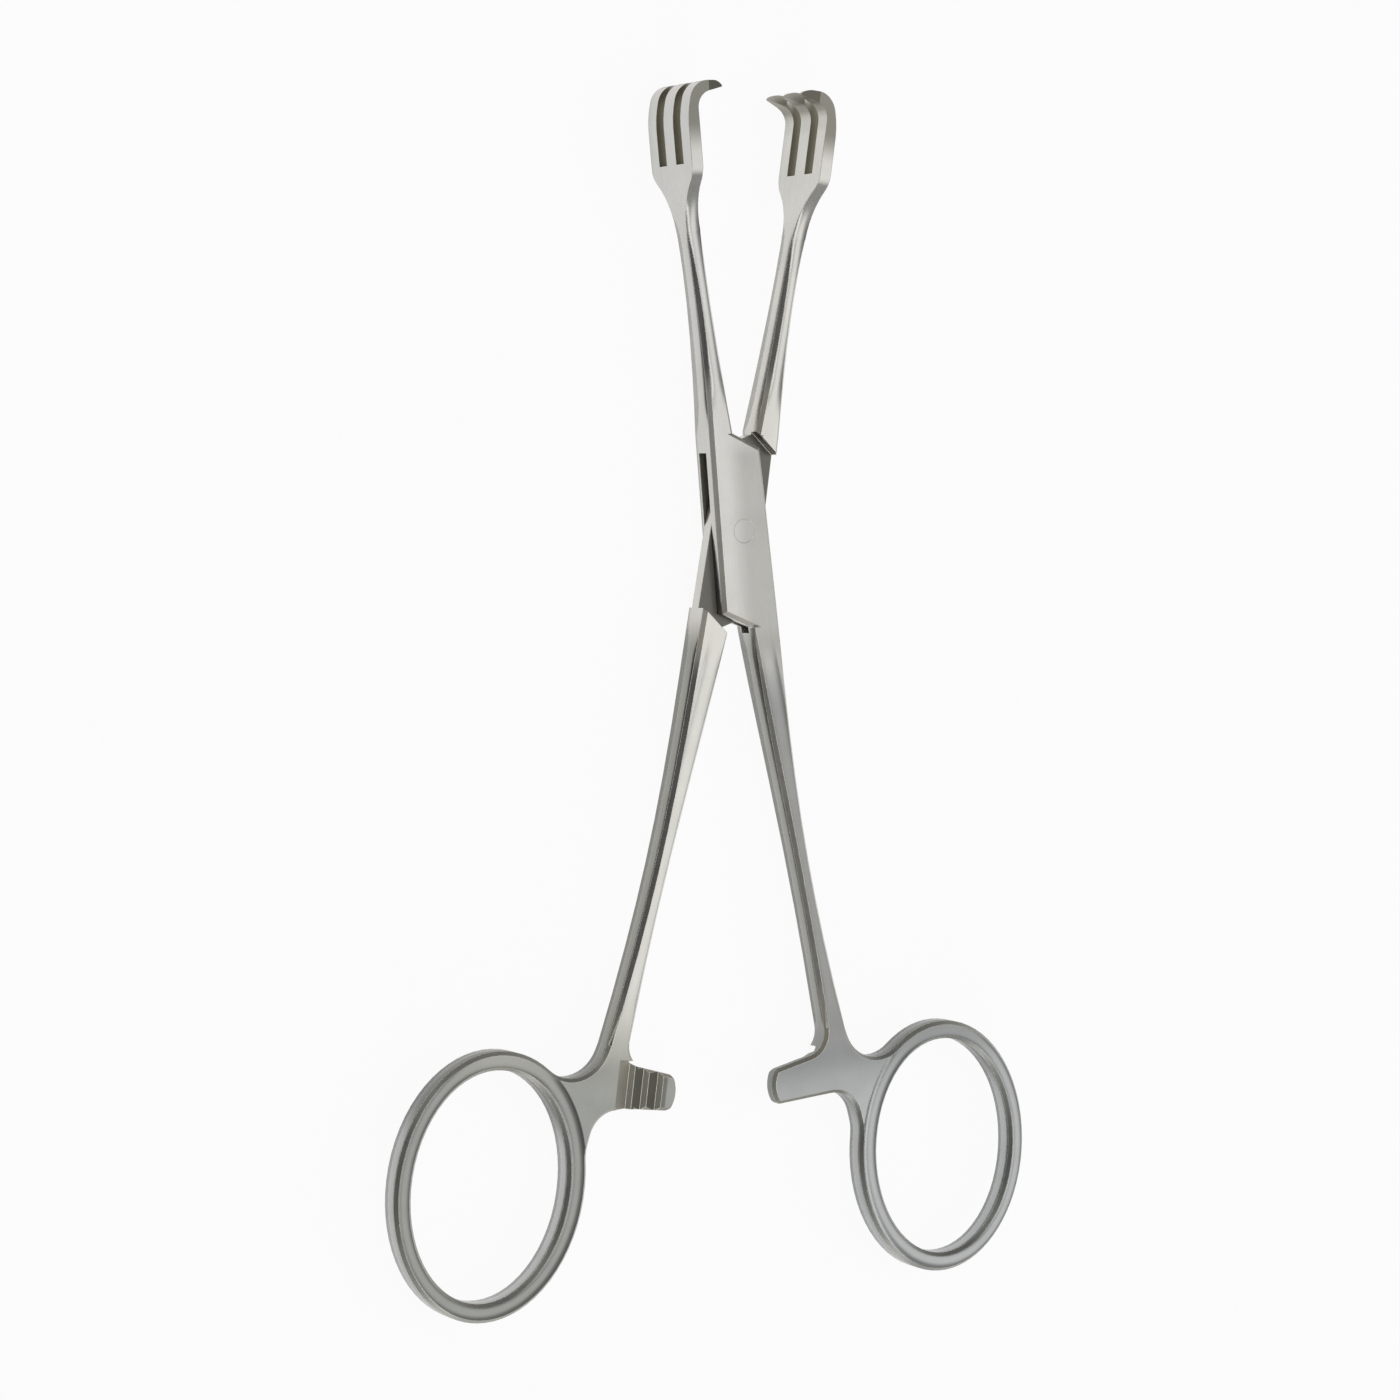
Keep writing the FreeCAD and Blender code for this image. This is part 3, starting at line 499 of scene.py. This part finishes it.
@dataclass
class Studio:
    """White floor, soft light all round and the camera at the photograph's viewing angle.

    turn, tip and roll are the camera's angles in radians. It aims at a point that lies aim_x to
    the right and aim_y up from the pivot's middle, as the photograph shows them.
    """

    turn: float = 0.57596
    tip: float = 0.04596
    roll: float = 0.021598
    distance: float = 0.458642
    aim_x: float = 0.004437
    aim_y: float = 0.021526
    mid_height: float = 0.0021
    focal_pixels: float = 3606.175
    image_pixels: float = 1400.0
    sensor_mm: float = 36.0
    clip: tuple[float, float] = (0.01, 20.0)
    floor_reach: float = 4.0
    floor_cells: int = 8
    dome_level: float = 0.36
    patches: tuple[Patch, ...] = (
        Patch("soft_box", (0.56, -0.04, 0.83), 1.14, 15.0, 40.0),
        Patch("strip", (-0.20, 0.0, 0.98), 1.6, 4.0, 12.0, Spread.STRIP),
        Patch("dark_flag", (-0.88, 0.0, 0.42), 0.09, 20.0, 44.0),
        Patch("dark_far_end", (0.25, 0.92, 0.30), 0.18, 28.0, 50.0),
        Patch("dark_near_corner", (0.50, -0.80, 0.24), 0.36, 8.0, 26.0),
        Patch("horizon", (0.0, 0.0, -1.0), 1.0, 80.0, 91.0),
    )

    def camera(self) -> None:
        """Places the camera: it looks down from the left, rolled by about a degree."""
        back = Vector((-math.sin(self.turn) * math.cos(self.tip), math.sin(self.tip),
                       math.cos(self.turn) * math.cos(self.tip)))
        right = Vector((math.cos(self.turn), 0.0, math.sin(self.turn)))
        up = back.cross(right)
        sine, cosine = math.sin(self.roll), math.cos(self.roll)
        right, up = right * cosine + up * sine, up * cosine - right * sine
        spot = -right * self.aim_x - up * self.aim_y + back * self.distance
        spot.z += self.mid_height
        data = bpy.data.cameras.new("camera")
        data.sensor_width = self.sensor_mm
        data.lens = self.focal_pixels * self.sensor_mm / self.image_pixels
        data.clip_start, data.clip_end = self.clip
        lens = bpy.data.objects.new("camera", data)
        bpy.context.scene.collection.objects.link(lens)
        facing = Matrix((right, up, back)).transposed().to_4x4()
        lens.matrix_world = Matrix.Translation(spot) @ facing
        bpy.context.scene.camera = lens

    def light(self) -> None:
        """Makes the dome: an even level, with each patch laid over it in turn by direction."""
        world = bpy.data.worlds.new("studio_dome")
        bpy.context.scene.world = world
        world.use_nodes = True
        tree = world.node_tree
        tree.nodes.clear()
        way = add_node(tree, "ShaderNodeTexCoord").outputs["Object"]
        way = add_node(tree, "ShaderNodeVectorMath", {"operation": "NORMALIZE"}, _0=way).outputs[0]
        level: Any = self.dome_level
        for patch in self.patches:
            towards = Vector(patch.towards).normalized()
            limits = [math.radians(patch.outer_deg), math.radians(patch.inner_deg)]
            if patch.spread is Spread.STRIP:
                # The angle away from the plane through the strip and the Y axis
                side = towards.cross(Vector((0.0, 1.0, 0.0)))
                lean = add_node(tree, "ShaderNodeVectorMath", DOT, _0=way, _1=tuple(side))
                near = add_node(tree, "ShaderNodeMath", SIZE_ONLY, _0=lean.outputs["Value"])
                near, (outer, inner) = near.outputs[0], map(math.sin, limits)
            else:
                near = add_node(tree, "ShaderNodeVectorMath", DOT, _0=way, _1=tuple(towards))
                near, (outer, inner) = near.outputs["Value"], map(math.cos, limits)
            share = add_node(tree, "ShaderNodeMapRange", EASED, Value=near, From_Min=outer,
                             From_Max=inner)
            level = add_node(tree, "ShaderNodeMix", Factor=share.outputs[0], A=level,
                             B=patch.level).outputs[0]
            log.info("studio %s at level %.2f", patch.name, patch.level)
        light = add_node(tree, "ShaderNodeBackground", Color=WHITE, Strength=level)
        add_node(tree, "ShaderNodeOutputWorld", Surface=light.outputs[0])

    def floor(self) -> None:
        """Lays the paper under the lowest point of the object, as a grid of square cells."""
        row = self.floor_cells + 1
        ticks = np.linspace(-self.floor_reach, self.floor_reach, row)
        across, along = np.meshgrid(ticks, ticks, indexing="ij")
        points = np.stack([across, along, np.full_like(across, CAD_BOX[0][2])], axis=-1)
        cells = np.arange(self.floor_cells)
        corner = (cells[:, None] * row + cells[None, :]).ravel()
        faces = np.stack([corner, corner + row, corner + row + 1, corner + 1], axis=-1)
        mesh = bpy.data.meshes.new("floor")
        mesh.from_pydata(points.reshape(-1, 3).tolist(), [], faces.tolist())
        mesh.materials.append(MattPaper().build())
        floor = bpy.data.objects.new("floor", mesh)
        bpy.context.scene.collection.objects.link(floor)

    def build(self) -> None:
        """Sets the view, the light, the floor and the camera."""
        bpy.context.scene.view_settings.view_transform = "Standard"
        self.light()
        self.floor()
        self.camera()


@dataclass
class SteelPiece:
    """One forged or turned piece of the tool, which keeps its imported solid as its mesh."""

    node: str
    finish: SatinSteel

    def dress(self) -> None:
        """Gives the solid its finish."""
        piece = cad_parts[self.node]
        piece.data.materials.clear()
        piece.data.materials.append(self.finish.build())
        log.info("%s dressed in %s", self.node, self.finish.name)


@dataclass
class BoxHalf:
    """Half with the slotted lock, its right handle and left jaw, and the rivet held in it."""

    # The plate's edge falls off in tone, and the rivet's ends, ground with the plates, share it
    plate_edge: Zone = Zone("plate_edge", x=(1.0, 9.0), y=(-14.0, 9.0), soft_x=3.5, soft_y=4.0,
                            height=(1.5, 9.0), facing=(0.9, 2.0), tint="#DDDDDC")
    zones: tuple[Zone, ...] = (
        # Painted shade: the handle's lands are darkened along the handle
        Zone("handle_land_painted_shade", y=(-64.0, -24.0), soft_y=14.0, facing=(0.93, 2.0), tint="#BCBDBE"),
        Zone("handle_bevels", y=(-66.0, -18.0), soft_y=6.0, facing=(0.3, 0.93), tint=BEVEL_TINT,
             roughness=0.1),
        # Painted shade: the handle's side walls are darkened
        Zone("handle_wall_painted_shade", y=(-74.0, -16.0), soft_y=6.0, facing=(-1.0, 0.4), tint="#CACBC9"),
        Zone("ring", y=(-FAR, -72.0), soft_y=12.0, facing=(-1.0, 2.0), tint="#DCDFE3"),
        # The mortise's faces are left rough, and their darker tint is painted shade in the recess
        Zone("mortise_dull_and_painted_shade", y=(-15.0, 15.0), height=(-1.0, 1.25), tint="#C4C2B8", roughness=0.4),
        # Painted shade: the ratchet's faces are darkened a little; the added roughness is their
        # milled finish
        Zone("ratchet", x=(-5.0, 7.0), y=(-78.0, -67.0), height=(-1.0, 0.9), facing=(0.6, 2.0),
             tint="#ECECEA", roughness=0.06),
        # The slots between the prongs are left rough, and their darker tint is painted shade
        Zone("prong_slots_dull_and_painted_shade", x=(-9.0, -3.9), soft_x=1.5, y=(45.9, 60.0), height=(-1.0, 3.7),
             tint="#9C9787", roughness=0.2),
    ) + SHARED_ZONES
    rivet_arris_mm: float = 0.02

    def build(self) -> None:
        """Dresses the half and its rivet."""
        half = SatinSteel("satin_steel_box_half", Hand.BOX, (self.plate_edge,) + self.zones)
        rivet = SatinSteel("satin_steel_rivet", Hand.BOX, (self.plate_edge,),
                           arris_mm=self.rivet_arris_mm)
        SteelPiece("female_half", half).dress()
        SteelPiece("pivot_pin", rivet).dress()


@dataclass
class TenonHalf:
    """Half whose tenon passes through the lock, with its left handle and right jaw."""

    # Painted highlight: a little lighter than the box half's steel, for the brighter sheen of this
    # half
    colour: str = "#D2D0CA"
    zones: tuple[Zone, ...] = (
        # Painted shade: the tenon's faces within the lock are darkened where the plates shade them
        Zone("tenon_faces_painted_shade", y=(-15.0, 15.0), height=(-1.0, 1.25), tint="#80807D", roughness=0.03),
        # Painted shade: the handle's side walls are darkened
        Zone("handle_wall_painted_shade", y=(-74.0, -16.0), soft_y=6.0, facing=(-1.0, 0.4), tint="#BCBDBB"),
        # Painted shade: the lands of the web and ring are darkened
        Zone("web_painted_shade", y=(-FAR, -68.0), soft_y=10.0, facing=(0.93, 2.0), tint="#D6D7D3"),
        Zone("ring", y=(-FAR, -74.0), soft_y=12.0, facing=(-1.0, 2.0), tint="#DCDFE3"),
        # Painted shade: the ratchet's gentle facets are darkened; the added roughness is their
        # milled finish
        Zone("ratchet", x=(0.9, 9.0), y=(-78.0, -67.0), height=(-1.0, 1.2), facing=(0.9, 2.0),
             tint="#C6C6C4", roughness=0.06),
        # The slots between the prongs are left rough, and their darker tint is painted shade
        Zone("prong_slots_dull_and_painted_shade", x=(-9.0, -3.9), soft_x=1.5, y=(45.9, 60.0), height=(-1.0, 3.7),
             tint="#A29F90", roughness=0.2),
    ) + SHARED_ZONES

    def build(self) -> None:
        """Dresses the half."""
        finish = SatinSteel("satin_steel_tenon_half", Hand.TENON, self.zones, colour=self.colour)
        SteelPiece("male_half", finish).dress()


def main() -> None:
    """Dresses the halves in order, then sets the studio round them."""
    BoxHalf().build()
    TenonHalf().build()
    Studio().build()


if __name__ == "__main__":
    logging.basicConfig(level=logging.INFO)
    main()
